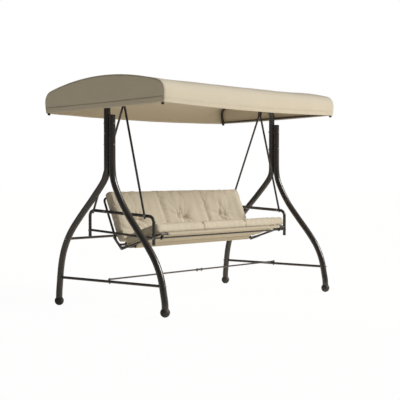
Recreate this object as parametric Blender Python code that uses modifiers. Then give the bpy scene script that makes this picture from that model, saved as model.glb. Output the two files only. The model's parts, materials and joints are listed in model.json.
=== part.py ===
"""Canopy swing bench: a tube stand with two arched end frames, a hanging three-seat bench
whose back folds down flat into a bed, and a tilting fabric canopy on tube arches.

Metres, +Z up, front of the bench towards -Y, origin on the floor under the swing axis.
Run with: blender --background --python part.py
"""

import math

import bmesh
import bpy
from mathutils import Vector

# ---------------------------------------------------------------- driving dimensions
GAP = 0.0003                    # clearance left between pieces that touch

# Overall size
CANOPY_LENGTH = 2.184           # along X
CANOPY_DEPTH = 1.219            # along Y
CANOPY_TOP = 1.731              # crown of the untilted canopy

# Stand
LEG_X = 1.0355                  # plane of each end frame
LEG_R = 0.025
FRONT_POST_Y = -2 * LEG_R - GAP
FRONT_POST_TOP = 1.437
REAR_LEG_LINE = ((0, 1.09), (0.0195, 0.981), (0.1445, 0.835), (0.279, 0.697), (0.3905, 0.569),
                 (0.4605, 0.444), (0.4965, 0.319), (0.5155, 0.17))
FRONT_LEG_LINE = ((FRONT_POST_Y, 1.14), (-0.0595, 0.989), (-0.105, 0.876), (-0.1855, 0.747),
                  (-0.2945, 0.616), (-0.3975, 0.498), (-0.4785, 0.387), (-0.5285, 0.277),
                  (-0.5555, 0.158))
REAR_FOOT_Y = 0.5235
FRONT_FOOT_Y = -0.5685
FOOT_R = 0.0355
FOOT_CENTRE_Z = 0.0345
FOOT_TOP_R = 0.026
FOOT_TOP_Z = FOOT_CENTRE_Z + math.sqrt(FOOT_R ** 2 - FOOT_TOP_R ** 2)
FOOT_STRAIGHT = 0.012           # upright stretch of each leg above its foot
END_BAR_Z = 0.217
END_BAR_R = 0.0105
END_BAR_COPE = 0.005            # a square-ended bar stops this far short of a leaning leg
STRETCHER_Y = -0.0225
STRETCHER_R = 0.0065
STRETCHER_Z = END_BAR_Z + END_BAR_R + STRETCHER_R + GAP
STRETCHER_END_X = LEG_X + 0.008
REAR_BAR_Y = 0.4275
REAR_BAR_Z = 0.516
REAR_BAR_R = 0.010
BEAM_Z = 1.600
BEAM_END_X = 0.935
ELBOW_R = 0.095

# Swing carrier: V hangers and arms
SWING_AXIS_Z = 1.544
BRACKET_SIZE = (0.019, 0.028, 0.046)
BRACKET_TOP_T = 0.004           # wall left above the bracket's slot
BRACKET_SLOT_PLAY = 0.005
SWING_PIN_R = 0.005
SWING_PIN_LENGTH = 0.023
SWING_PIN_HEAD = (0.009, 0.004)
RUNNING_CLEARANCE = 0.0005
HANGER_X = 0.8575
HANGER_R = 0.0085
HANGER_REAR = (0.3255, 0.729)   # where the rear rod crosses the arm's top rail (Y, Z)
HANGER_FRONT = (-0.2075, 0.700)
HANGER_TAIL = 0.020             # rod left over below the arm's top rail
HANGER_PLATE_REACH = 0.032
HANGER_PLATE_T = 0.008
HANGER_PLATE_R = 0.013
ARM_X = 0.835
ARM_R = 0.0125
ARM_REAR_Y = 0.3875
ARM_FRONT_Y = -0.2795
ARM_REAR_BOTTOM = 0.537
ARM_FRONT_BOTTOM = 0.492
ARM_BEND_R = 0.045
ARM_TOP_SLOPE = (HANGER_REAR[1] - HANGER_FRONT[1]) / (HANGER_REAR[0] - HANGER_FRONT[0])
LOWER_RAIL_R = 0.0095
LOWER_RAIL_REAR_Z = 0.5775
LOWER_RAIL_FRONT_Z = 0.5385

# Seat pan, which pivots on the front rail between the arms
FRONT_RAIL = (ARM_FRONT_Y, 0.536)
FRONT_RAIL_R = 0.007
PAN_X = 0.804
PAN_R = 0.009
PAN_FRONT = (-0.305, 0.566)     # centre of the pan's front tube (Y, Z)
PAN_REAR = (0.0235, 0.457)
PAN_BEND_R = 0.035
CLIP_X = 0.752                  # clips under the front tube that turn on the front rail
CLIP_T = 0.006
CLIP_R = 0.013
CLIP_TIP_R = 0.008

# Backrest, on two plates and a pin at each end
BACK_FOOT = (0.1215, 0.470)     # centre of the back frame's lower tube (Y, Z)
BACK_HEAD = (0.2715, 0.824)
RECLINE_AXIS = (0.0655, 0.447)
HINGE_PLATE_T = 0.003
HINGE_PLATE_R = 0.013
HINGE_PLATE_TIP_R = 0.009
SEAT_PLATE_REACH = 0.050        # how far each plate runs along its frame
BACK_PLATE_REACH = 0.060
RECLINE_PIN_R = 0.004
RECLINE_PIN_LENGTH = 0.010
RECLINE_PIN_HEAD = (0.008, 0.003)

# Slings and cushions
SLING_HALF_WIDTH = 0.715
SLEEVE_R = 0.013
SLING_T = 0.004
CUSHION_T = 0.072
CUSHION_HALF_ROW = 0.808
CUSHION_SPLIT = 0.003
CUSHION_EDGE_R = 0.018
SEAT_CUSHION_OVERHANG = 0.008
SEAT_TO_BACK = 0.003            # slit between the seat cushions and the back cushions
BACK_CUSHION_START = 0.006
BACK_CUSHION_LENGTH = 0.412

# Canopy, which tilts about a bolt at the top of each post
TILT_AXIS_Z = 1.505
TILT_BOSS_R = 0.009
REST_TILT = math.radians(1.7)   # front edge up
CROWN_R = 2.10
CORNER_R = 0.085
RIM_Z = 1.4944
RIM_TUCK = 0.011                # how far the rim leans in
CLOTH_T = 0.003
CLOTH_COLUMNS = 12
HEM_SAG = 0.016
CROWN_SAG = 0.005
CROWN_DROP = 0.07               # below this much under the crown, the sag grows towards the hem
ARCH_X = 1.0785
ARCH_R = 0.0095
ARCH_FOOT_Z = 1.488
BASE_RAIL_SHORT = 0.006         # how far the base rail stops inside the arch's legs
PURLIN_R = 0.008
PURLIN_DROP = CROWN_SAG + 0.003
PURLIN_POINT = 10               # the outline's point over the front purlin

SIDES = (("left", -1), ("right", 1))

COLOURS = {                     # name: (colour, roughness, metallic)
    "frame": ((0.062, 0.052, 0.045, 1), 0.42, 0.55),
    "fastener": ((0.30, 0.29, 0.28, 1), 0.35, 0.90),
    "foot": ((0.045, 0.041, 0.038, 1), 0.60, 0.0),
    "canopy_cloth": ((0.62, 0.55, 0.42, 1), 0.85, 0.0),
    "cushion_cloth": ((0.62, 0.54, 0.40, 1), 0.90, 0.0),
    "sling_cloth": ((0.52, 0.45, 0.33, 1), 0.85, 0.0),
}


# ---------------------------------------------------------------- scene and materials
def clear_scene():
    for obj in list(bpy.data.objects):
        bpy.data.objects.remove(obj, do_unlink=True)


def new_collection(name):
    made = bpy.data.collections.new(name)
    bpy.context.scene.collection.children.link(made)
    return made


def make_material(name, finish):
    """A piece's own material, in one of the finishes above."""
    colour, roughness, metallic = COLOURS[finish]
    material = bpy.data.materials.new(name)
    material.use_nodes = True
    shader = material.node_tree.nodes["Principled BSDF"]
    shader.inputs["Base Color"].default_value = colour
    shader.inputs["Roughness"].default_value = roughness
    shader.inputs["Metallic"].default_value = metallic
    material.diffuse_color = colour
    return material


class Bench:
    """Holds the collections, and one empty on each body's joint axis."""

    def __init__(self):
        self.parts = new_collection("canopy_swing_bench")
        self.cutters = new_collection("cutters")
        self.bodies = {
            "stand": self.empty("stand_origin", (0, 0, 0)),
            "swing": self.empty("seat_swing_axis", (0, 0, SWING_AXIS_Z)),
            "seat": self.empty("seat_level_axis", (0, *FRONT_RAIL)),
            "backrest": self.empty("back_recline_axis", (0, *RECLINE_AXIS)),
            "canopy": self.empty("canopy_tilt_axis", (0, 0, TILT_AXIS_Z)),
        }
        self.hang("seat_swing_axis", "stand")
        self.hang("seat_level_axis", "swing")
        self.hang("back_recline_axis", "seat")
        self.hang("canopy_tilt_axis", "stand")

    def empty(self, name, location):
        made = bpy.data.objects.new(name, None)
        made.location = location
        self.parts.objects.link(made)
        return made

    def hang(self, name, body):
        """Parents an object to a body's empty and keeps it where it is."""
        obj = bpy.data.objects[name]
        bpy.context.view_layer.update()
        obj.parent = self.bodies[body]
        obj.matrix_parent_inverse = self.bodies[body].matrix_world.inverted()

    def add(self, name, data, body, finish, location=(0, 0, 0), rotation=(0, 0, 0)):
        obj = bpy.data.objects.new(name, data)
        obj.location = location
        obj.rotation_euler = rotation
        data.materials.clear()
        data.materials.append(make_material(name, finish))
        self.parts.objects.link(obj)
        self.hang(name, body)
        return obj


# ---------------------------------------------------------------- paths and outlines
def arc(centre, radius, start, end, steps):
    """Points on a circle in the plane, angles in degrees."""
    points = []
    for step in range(steps + 1):
        angle = math.radians(start + (end - start) * step / steps)
        points.append((centre[0] + radius * math.cos(angle), centre[1] + radius * math.sin(angle)))
    return points


def rounded(points, radius, steps=6, closed=False):
    """A polyline whose corners are rounded with arcs."""
    points = [Vector(point) for point in points]
    count = len(points)
    path = []
    for index, corner in enumerate(points):
        if not closed and index in (0, count - 1):
            path.append(corner)
            continue
        back = (points[index - 1] - corner).normalized()
        ahead = (points[(index + 1) % count] - corner).normalized()
        half = back.angle(ahead) / 2
        centre = corner + (back + ahead).normalized() * radius / math.sin(half)
        first = (corner + back * radius / math.tan(half) - centre).normalized()
        last = (corner + ahead * radius / math.tan(half) - centre).normalized()
        for step in range(steps + 1):
            path.append(centre + first.slerp(last, step / steps) * radius)
    return path


def smooth_line(points, steps=4):
    """A smooth curve through its points, by cubic segments whose slopes follow the neighbours."""
    points = [Vector(point) for point in points]
    last = len(points) - 1
    slopes = [(points[min(i + 1, last)] - points[max(i - 1, 0)]) / 2 for i in range(last + 1)]
    slopes[0] = Vector((0, slopes[0].y * 2))
    slopes[-1] = Vector((0, slopes[-1].y * 2))
    path = []
    for index in range(len(points) - 1):
        for step in range(steps):
            t = step / steps
            rise = 3 * t ** 2 - 2 * t ** 3
            leave = t ** 3 - 2 * t ** 2 + t
            arrive = t ** 3 - t ** 2
            path.append(points[index] * (1 - rise) + points[index + 1] * rise
                        + slopes[index] * leave + slopes[index + 1] * arrive)
    path.append(points[-1])
    return path


def along(start, end, distance, offset=0.0):
    """A point on the line from start to end in the YZ plane, moved square to it, upper side positive."""
    run = (Vector(end) - Vector(start)).normalized()
    square = Vector((-run.y, run.x))
    return tuple(Vector(start) + run * distance + square * offset)


def slope_of(start, end):
    return math.atan2(end[1] - start[1], end[0] - start[0])


# ---------------------------------------------------------------- solids
def tube(bench, name, body, path, radius, closed=False, finish="frame", roundness=4):
    """A round bar along a path, with flat ends."""
    curve = bpy.data.curves.new(name, "CURVE")
    curve.dimensions = "3D"
    curve.bevel_depth = radius
    curve.bevel_resolution = roundness
    curve.use_fill_caps = not closed
    curve.twist_mode = "MINIMUM"
    spline = curve.splines.new("POLY")
    spline.points.add(len(path) - 1)
    for point, place in zip(spline.points, path):
        point.co = (*place, 1)
    spline.use_cyclic_u = closed
    spline.use_smooth = True
    return bench.add(name, curve, body, finish)


def upright(path, x):
    """A path in the YZ plane moved to the plane at x."""
    return [(x, point[0], point[1]) for point in path]


def plate(bench, name, body, outline, holes, x, thickness, finish="frame"):
    """A flat outline in the YZ plane, with holes, thickened along X and centred on x."""
    curve = bpy.data.curves.new(name, "CURVE")
    curve.dimensions = "2D"
    curve.fill_mode = "BOTH"
    curve.extrude = thickness / 2
    for loop in (outline, *holes):
        spline = curve.splines.new("POLY")
        spline.points.add(len(loop) - 1)
        for point, place in zip(spline.points, loop):
            point.co = (place[0], place[1], 0, 1)
        spline.use_cyclic_u = True
    return bench.add(name, curve, body, finish, (x, 0, 0), (math.pi / 2, 0, math.pi / 2))


def round_hole(centre, radius):
    return arc(centre, radius, 0, 345, 23)


def capsule(start, end, start_r, end_r):
    """A flat bar's outline with a round end at each of two points."""
    heading = math.degrees(slope_of(start, end))
    near = arc(start, start_r, heading + 90, heading + 270, 8)
    return near + arc(end, end_r, heading - 90, heading + 90, 8)


def turned(bench, name, body, profile, location, rotation, finish, steps=16):
    """A turned solid: the profile is (radius, height) from top to bottom."""
    mesh = bpy.data.meshes.new(name)
    edges = [(index, index + 1) for index in range(len(profile) - 1)]
    mesh.from_pydata([(radius, 0, height) for radius, height in profile], edges, [])
    obj = bench.add(name, mesh, body, finish, location, rotation)
    screw = obj.modifiers.new("turn", "SCREW")
    screw.steps = steps
    screw.render_steps = steps
    screw.use_merge_vertices = True
    screw.merge_threshold = 0.0001
    screw.use_smooth_shade = False
    return obj


def pin(bench, name, body, place, shaft, head, side):
    """A pin along X: shaft and head are (radius, length), and the head stands outside the place."""
    head_r, head_t = head
    shaft_r, shaft_l = shaft
    profile = [(0, head_t), (head_r, head_t), (head_r, 0), (shaft_r, 0), (shaft_r, -shaft_l), (0, -shaft_l)]
    x, y, z = place
    turned(bench, name, body, profile, (side * x, y, z), (0, side * math.pi / 2, 0), "fastener", steps=12)


def box_mesh(name, size):
    mesh = bpy.data.meshes.new(name)
    bm = bmesh.new()
    bmesh.ops.create_cube(bm, size=1)
    bmesh.ops.scale(bm, vec=size, verts=bm.verts)
    bm.to_mesh(mesh)
    bm.free()
    return mesh


def cut(bench, obj, cutter_mesh, location, rotation=(0, 0, 0)):
    """Cuts a hole or slot in a piece with a cutter placed in the piece's own frame."""
    cutter = bpy.data.objects.new(obj.name + "_cutter", cutter_mesh)
    cutter.location = location
    cutter.rotation_euler = rotation
    cutter.hide_render = True
    cutter.display_type = "WIRE"
    bench.cutters.objects.link(cutter)
    boolean = obj.modifiers.new("cut", "BOOLEAN")
    boolean.operation = "DIFFERENCE"
    boolean.solver = "EXACT"
    boolean.object = cutter


def rod_mesh(name, radius, length):
    mesh = bpy.data.meshes.new(name)
    bm = bmesh.new()
    bmesh.ops.create_cone(bm, cap_ends=True, segments=16, radius1=radius, radius2=radius, depth=length)
    bm.to_mesh(mesh)
    bm.free()
    return mesh


# ---------------------------------------------------------------- stand
def foot_cap(bench, name, x, y):
    """A ball foot with a flat underside and a flat seat for the leg."""
    top = math.degrees(math.asin((FOOT_TOP_Z - FOOT_CENTRE_Z) / FOOT_R))
    bottom = -math.degrees(math.asin(FOOT_CENTRE_Z / FOOT_R))
    profile = [(0, FOOT_TOP_Z)] + arc((0, FOOT_CENTRE_Z), FOOT_R, top, bottom, 9) + [(0, 0)]
    turned(bench, name, "stand", profile, (x, y, 0), (0, 0, 0), "foot")


def leg_path(line, foot_y):
    """A leg's centreline down to a short upright stretch that stands on its foot."""
    return smooth_line((*line, (foot_y, FOOT_TOP_Z + FOOT_STRAIGHT))) + [Vector((foot_y, FOOT_TOP_Z + GAP))]


def add_legs(bench):
    """Each end frame's two legs: the rear one carries on into the beam's elbow."""
    for side, sign in SIDES:
        x = sign * LEG_X
        rear = upright(leg_path(REAR_LEG_LINE, REAR_FOOT_Y), x)
        elbow = rounded([rear[0], (x, 0, BEAM_Z), (sign * BEAM_END_X, 0, BEAM_Z)], ELBOW_R)
        rear = elbow[:0:-1] + [Vector(point) for point in rear]
        tube(bench, f"rear_leg_{side}", "stand", rear, LEG_R, roundness=6)
        front = upright([(FRONT_POST_Y, FRONT_POST_TOP)] + leg_path(FRONT_LEG_LINE, FRONT_FOOT_Y), x)
        tube(bench, f"front_leg_{side}", "stand", front, LEG_R, roundness=6)
        foot_cap(bench, f"foot_front_{side}", x, FRONT_FOOT_Y)
        foot_cap(bench, f"foot_rear_{side}", x, REAR_FOOT_Y)


def leg_y_at(line, foot_y, height):
    """Where a leg's centreline is at a height."""
    path = leg_path(line, foot_y)
    for above, below in zip(path, path[1:]):
        if below.y <= height <= above.y:
            return below.x + (above.x - below.x) * (height - below.y) / (above.y - below.y)
    raise ValueError(f"no leg at {height}")


def add_stand_bars(bench):
    """The rear cross bar, an end bar in each end frame, and the floor stretcher that lies on both."""
    rear_y = leg_y_at(REAR_LEG_LINE, REAR_FOOT_Y, END_BAR_Z) - LEG_R - END_BAR_COPE
    front_y = leg_y_at(FRONT_LEG_LINE, FRONT_FOOT_Y, END_BAR_Z) + LEG_R + END_BAR_COPE
    inner = LEG_X - LEG_R - GAP
    rear_bar = [(-inner, REAR_BAR_Y, REAR_BAR_Z), (inner, REAR_BAR_Y, REAR_BAR_Z)]
    tube(bench, "rear_cross_bar", "stand", rear_bar, REAR_BAR_R)
    for side, sign in SIDES:
        x = sign * LEG_X
        tube(bench, f"end_bar_{side}", "stand", [(x, front_y, END_BAR_Z), (x, rear_y, END_BAR_Z)], END_BAR_R)
        stretcher = [(sign * end_x, STRETCHER_Y, STRETCHER_Z) for end_x in (GAP, STRETCHER_END_X)]
        tube(bench, f"floor_stretcher_{side}", "stand", stretcher, STRETCHER_R)


def add_beam(bench):
    """The top beam, its two hanger brackets and their pins, and the canopy's pivot bosses."""
    end = BEAM_END_X - GAP
    tube(bench, "top_beam", "stand", [(-end, 0, BEAM_Z), (end, 0, BEAM_Z)], LEG_R, roundness=6)
    width, depth, height = BRACKET_SIZE
    bracket_z = BEAM_Z - LEG_R - GAP - height / 2
    slot = (HANGER_PLATE_T + BRACKET_SLOT_PLAY, 2 * depth, height)
    boss_x = LEG_X + LEG_R + GAP
    boss_length = ARCH_X - ARCH_R - GAP - boss_x
    boss = [(0, boss_length), (TILT_BOSS_R, boss_length), (TILT_BOSS_R, 0), (0, 0)]
    for side, sign in SIDES:
        x = sign * HANGER_X
        bracket = bench.add(f"swing_bracket_{side}", box_mesh("bracket", BRACKET_SIZE), "stand", "frame",
                            (x, 0, bracket_z))
        cut(bench, bracket, box_mesh("slot", slot), (x, 0, bracket_z - BRACKET_TOP_T))
        hole = rod_mesh("pin_hole", SWING_PIN_R + RUNNING_CLEARANCE, 2 * width)
        cut(bench, bracket, hole, (x, 0, SWING_AXIS_Z), (0, math.pi / 2, 0))
        pin(bench, f"swing_pin_{side}", "stand", (HANGER_X + width / 2 + GAP, 0, SWING_AXIS_Z),
            (SWING_PIN_R, SWING_PIN_LENGTH), SWING_PIN_HEAD, sign)
        turned(bench, f"tilt_pivot_{side}", "stand", boss, (sign * boss_x, 0, TILT_AXIS_Z),
               (0, sign * math.pi / 2, 0), "fastener", steps=12)


# ---------------------------------------------------------------- swing carrier
def add_arms(bench):
    """Each arm is a bent tube with a straight lower rail; the front rail ties the two arms."""
    top_rear = HANGER_REAR[1] + (ARM_REAR_Y - HANGER_REAR[0]) * ARM_TOP_SLOPE
    top_front = HANGER_REAR[1] + (ARM_FRONT_Y - HANGER_REAR[0]) * ARM_TOP_SLOPE
    corners = [(ARM_REAR_Y, ARM_REAR_BOTTOM), (ARM_REAR_Y, top_rear), (ARM_FRONT_Y, top_front),
               (ARM_FRONT_Y, ARM_FRONT_BOTTOM)]
    inset = ARM_R + 2 * GAP
    for side, sign in SIDES:
        x = sign * ARM_X
        tube(bench, f"arm_{side}", "swing", rounded(upright(corners, x), ARM_BEND_R), ARM_R)
        tube(bench, f"arm_lower_rail_{side}", "swing",
             [(x, ARM_FRONT_Y + inset, LOWER_RAIL_FRONT_Z), (x, ARM_REAR_Y - inset, LOWER_RAIL_REAR_Z)],
             LOWER_RAIL_R, roundness=3)
    end = ARM_X - ARM_R - GAP
    tube(bench, "seat_front_rail", "swing", [(-end, *FRONT_RAIL), (end, *FRONT_RAIL)], FRONT_RAIL_R)


def add_hangers(bench):
    """A plate turns on each swing pin, and two rods run from it down to the arm's top rail."""
    axis = Vector((0, SWING_AXIS_Z))
    rods = {"rear": Vector(HANGER_REAR) - axis, "front": Vector(HANGER_FRONT) - axis}
    feet = {}
    for name, run in rods.items():
        direction = run.normalized()
        centre = axis + direction * HANGER_PLATE_REACH
        square = Vector((-direction.y, direction.x)) * HANGER_R
        feet[name] = (centre + square, centre - square)
    outline = arc(tuple(axis), HANGER_PLATE_R, 0, 180, 10)
    outline += [tuple(point) for point in (*feet["front"][::-1], *feet["rear"][::-1])]
    hole = round_hole(tuple(axis), SWING_PIN_R + RUNNING_CLEARANCE)
    for side, sign in SIDES:
        x = sign * HANGER_X
        plate(bench, f"hanger_plate_{side}", "swing", outline, [hole], x, HANGER_PLATE_T)
        for name, run in rods.items():
            direction = run.normalized()
            start = axis + direction * (HANGER_PLATE_REACH + GAP)
            end = axis + direction * (run.length + HANGER_TAIL)
            tube(bench, f"hanger_rod_{name}_{side}", "swing", upright([start, end], x), HANGER_R,
                 roundness=2)


# ---------------------------------------------------------------- seat and backrest
def loop_frame(bench, name, body, low, high):
    """A closed tube frame between two cross tubes given by their centres in the YZ plane."""
    corners = [(-PAN_X, *low), (PAN_X, *low), (PAN_X, *high), (-PAN_X, *high)]
    tube(bench, name, body, rounded(corners, PAN_BEND_R, closed=True), PAN_R, closed=True)


def sling(bench, name, body, start, end):
    """Cloth from one cross tube to another, with a sewn sleeve round each."""
    length = (Vector(end) - Vector(start)).length
    inner = SLEEVE_R - SLING_T
    leave = math.degrees(math.asin(inner / SLEEVE_R))
    flat = arc((0, 0), SLEEVE_R, leave, -270, 16) + arc((length, 0), SLEEVE_R, 90, -180 - leave, 16)
    holes = [round_hole((0, 0), PAN_R + GAP), round_hole((length, 0), PAN_R + GAP)]

    def laid(points):
        return [along(start, end, s, n) for s, n in points]

    plate(bench, name, body, laid(flat), [laid(hole) for hole in holes], 0, 2 * SLING_HALF_WIDTH,
          "sling_cloth")


def cushion_row(bench, name, body, line, distance, length, offset):
    """Three cushions side by side on a line in the YZ plane, offset square to it."""
    pitch = 2 * CUSHION_HALF_ROW / 3
    centre = along(*line, distance + length / 2, offset + CUSHION_T / 2)
    size = (pitch - CUSHION_SPLIT, length, CUSHION_T)
    for index, place in enumerate(("left", "middle", "right")):
        cushion = bench.add(f"{name}_{place}", box_mesh(name, size), body, "cushion_cloth",
                            ((index - 1) * pitch, *centre), (slope_of(*line), 0, 0))
        bevel = cushion.modifiers.new("soft_edge", "BEVEL")
        bevel.width = CUSHION_EDGE_R
        bevel.segments = 2


def seat_cushion_length(start):
    """From the seat cushions' front face to just short of the back cushions' face."""
    back_face = CUSHION_T + SLEEVE_R + 2 * GAP + SEAT_TO_BACK
    to_back = Vector(BACK_HEAD) - Vector(BACK_FOOT)
    square = Vector((-to_back.y, to_back.x)).normalized()
    corner = Vector(along(PAN_FRONT, PAN_REAR, start, SLEEVE_R + CUSHION_T))
    run = (Vector(PAN_REAR) - Vector(PAN_FRONT)).normalized()
    return ((corner - Vector(BACK_FOOT)).dot(square) - back_face) / -run.dot(square)


def add_seat(bench):
    loop_frame(bench, "seat_frame", "seat", PAN_FRONT, PAN_REAR)
    sling(bench, "seat_sling", "seat", PAN_FRONT, PAN_REAR)
    start = -SEAT_CUSHION_OVERHANG
    cushion_row(bench, "seat_cushion", "seat", (PAN_FRONT, PAN_REAR), start, seat_cushion_length(start),
                SLEEVE_R + GAP)
    reach = (Vector(PAN_FRONT) - Vector(FRONT_RAIL)).length - PAN_R - CLIP_TIP_R - GAP
    clip = capsule(FRONT_RAIL, along(FRONT_RAIL, PAN_FRONT, reach), CLIP_R, CLIP_TIP_R)
    hole = round_hole(FRONT_RAIL, FRONT_RAIL_R + RUNNING_CLEARANCE)
    for side, sign in SIDES:
        plate(bench, f"seat_clip_{side}", "seat", clip, [hole], sign * CLIP_X, CLIP_T)


def add_backrest(bench):
    loop_frame(bench, "back_frame", "backrest", BACK_FOOT, BACK_HEAD)
    sling(bench, "back_sling", "backrest", BACK_FOOT, BACK_HEAD)
    cushion_row(bench, "back_cushion", "backrest", (BACK_FOOT, BACK_HEAD), BACK_CUSHION_START,
                BACK_CUSHION_LENGTH, SLEEVE_R + GAP)


def add_recline_hinges(bench):
    """At each end a plate on the pan and a plate on the back frame share one pin."""
    hole = round_hole(RECLINE_AXIS, RECLINE_PIN_R + RUNNING_CLEARANCE)
    seat_x = PAN_X + PAN_R + GAP + HINGE_PLATE_T / 2
    back_x = seat_x + HINGE_PLATE_T + GAP
    head_x = back_x + HINGE_PLATE_T / 2 + GAP
    seat_end = along(PAN_REAR, PAN_FRONT, SEAT_PLATE_REACH)
    back_end = along(BACK_FOOT, BACK_HEAD, BACK_PLATE_REACH)
    seat_plate = capsule(RECLINE_AXIS, seat_end, HINGE_PLATE_R, HINGE_PLATE_TIP_R)
    back_plate = capsule(RECLINE_AXIS, back_end, HINGE_PLATE_R, HINGE_PLATE_TIP_R)
    for side, sign in SIDES:
        plate(bench, f"hinge_plate_seat_{side}", "seat", seat_plate, [hole], sign * seat_x, HINGE_PLATE_T)
        plate(bench, f"hinge_plate_back_{side}", "backrest", back_plate, [hole], sign * back_x,
              HINGE_PLATE_T)
        pin(bench, f"recline_pin_{side}", "seat", (head_x, *RECLINE_AXIS),
            (RECLINE_PIN_R, RECLINE_PIN_LENGTH), RECLINE_PIN_HEAD, sign)


# ---------------------------------------------------------------- canopy
def canopy_outline(inset=0.0, foot_z=RIM_Z):
    """The end outline from the front rim over the crown to the rear rim, as (Y, Z) points."""
    half = CANOPY_DEPTH / 2
    crown_z = CANOPY_TOP - CROWN_R
    corner_y = half - CORNER_R
    corner_z = crown_z + math.sqrt((CROWN_R - CORNER_R) ** 2 - corner_y ** 2)
    reach = corner_z - foot_z
    side = []
    for step in range(3):
        drop = 1 - step / 3
        tuck = RIM_TUCK * (drop * reach / (corner_z - RIM_Z)) ** 2
        side.append((half - inset - tuck, corner_z - drop * reach))
    corner_end = math.degrees(math.acos(corner_y / (CROWN_R - CORNER_R)))
    corner = arc((corner_y, corner_z), CORNER_R - inset, 0, corner_end, 6)
    crown = arc((0, crown_z), CROWN_R - inset, corner_end, 90, 6)[1:]
    rear = side + corner + crown
    front = [(-y, z) for y, z in rear[:-1]]
    return front + rear[::-1]


def add_canopy_cloth(bench):
    """The long panel runs from hem to hem over the crown; a flat panel closes each end."""
    outline = canopy_outline()
    rows = len(outline) - 1
    full_sag_from = CANOPY_TOP - CROWN_DROP
    half_length = CANOPY_LENGTH / 2 - CLOTH_T - GAP
    mesh = bpy.data.meshes.new("canopy_top")
    bm = bmesh.new()
    bmesh.ops.create_grid(bm, x_segments=CLOTH_COLUMNS, y_segments=rows, size=0.5)
    for vert in bm.verts:
        y, z = outline[round((vert.co.y + 0.5) * rows)]
        middle = 1 - (2 * vert.co.x) ** 2
        hem = max(0.0, (full_sag_from - z) / (full_sag_from - RIM_Z))
        sag = CROWN_SAG + (HEM_SAG - CROWN_SAG) * hem
        vert.co = (vert.co.x * 2 * half_length, y, z - sag * middle)
    bm.to_mesh(mesh)
    bm.free()
    top = bench.add("canopy_top_panel", mesh, "canopy", "canopy_cloth")
    thickness = top.modifiers.new("cloth", "SOLIDIFY")
    thickness.thickness = CLOTH_T
    thickness.offset = -1
    for side, sign in SIDES:
        x = sign * (CANOPY_LENGTH / 2 - CLOTH_T / 2)
        plate(bench, f"canopy_end_panel_{side}", "canopy", outline, [], x, CLOTH_T, "canopy_cloth")


def add_canopy_frame(bench):
    """An arch and a base rail at each end, with three purlins between the arches."""
    inset = CLOTH_T + ARCH_R + 2 * GAP
    arch = canopy_outline(inset, ARCH_FOOT_Z)
    rail_half = -arch[1][0] - ARCH_R - BASE_RAIL_SHORT
    for side, sign in SIDES:
        x = sign * ARCH_X
        rail = [(x, -rail_half, TILT_AXIS_Z), (x, rail_half, TILT_AXIS_Z)]
        tube(bench, f"canopy_arch_{side}", "canopy", upright(arch, x), ARCH_R)
        tube(bench, f"canopy_base_rail_{side}", "canopy", rail, ARCH_R)
    end = ARCH_X - ARCH_R - GAP
    outer = canopy_outline(inset)[PURLIN_POINT]
    outer_z = outer[1] - PURLIN_DROP
    ridge_z = CANOPY_TOP - inset - PURLIN_DROP
    for name, y, z in (("front", outer[0], outer_z), ("ridge", 0, ridge_z), ("rear", -outer[0], outer_z)):
        path = [(-end, y, z), (end, y, z)]
        tube(bench, f"canopy_purlin_{name}", "canopy", path, PURLIN_R, roundness=3)


def main():
    clear_scene()
    bench = Bench()
    add_legs(bench)
    add_stand_bars(bench)
    add_beam(bench)
    add_arms(bench)
    add_hangers(bench)
    add_seat(bench)
    add_backrest(bench)
    add_recline_hinges(bench)
    add_canopy_cloth(bench)
    add_canopy_frame(bench)
    bench.bodies["canopy"].rotation_euler.x = -REST_TILT


main()
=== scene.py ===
"""Looks of the canopy swing bench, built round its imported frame.

Metres, in the frame's own axes: +X runs along the bench, the front is towards -Y, and +Z is up.
"""

import json
import logging
import math
from dataclasses import dataclass
from enum import Enum
from typing import Callable, Iterable, Sequence

import bmesh
import bpy
from mathutils import Matrix, Vector, noise
from mathutils.bvhtree import BVHTree


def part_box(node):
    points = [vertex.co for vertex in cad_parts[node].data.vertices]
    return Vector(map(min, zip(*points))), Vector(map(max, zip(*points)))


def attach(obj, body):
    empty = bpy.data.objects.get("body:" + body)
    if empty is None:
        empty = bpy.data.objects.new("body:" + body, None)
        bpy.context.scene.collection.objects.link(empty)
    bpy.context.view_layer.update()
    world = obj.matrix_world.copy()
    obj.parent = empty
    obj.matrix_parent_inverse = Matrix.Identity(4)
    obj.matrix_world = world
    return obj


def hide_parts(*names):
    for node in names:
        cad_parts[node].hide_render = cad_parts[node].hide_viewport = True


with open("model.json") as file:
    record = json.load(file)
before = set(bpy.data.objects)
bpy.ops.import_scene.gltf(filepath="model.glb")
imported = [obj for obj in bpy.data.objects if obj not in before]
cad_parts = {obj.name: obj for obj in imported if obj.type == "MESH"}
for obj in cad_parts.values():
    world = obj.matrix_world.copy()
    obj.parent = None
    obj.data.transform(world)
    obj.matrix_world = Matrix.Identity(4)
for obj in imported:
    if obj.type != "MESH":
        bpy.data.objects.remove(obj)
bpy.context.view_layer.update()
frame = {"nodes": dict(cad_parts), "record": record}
LOG = logging.getLogger("swing_bench")
SIDES = (("left", -1), ("right", 1))
PLACES = ("left", "middle", "right")


class Body(Enum):
    """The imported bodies."""

    STAND = "stand"
    SWING = "swing"
    SEAT = "seat"
    BACK = "backrest"
    CANOPY = "canopy"


class Slot(Enum):
    """The record's material slots."""

    FRAME = "frame_paint"
    FASTENER = "fastener"
    FOOT = "foot_plastic"
    CANOPY = "canopy_fabric"
    CUSHION = "cushion_fabric"
    SLING = "sling_fabric"


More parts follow.
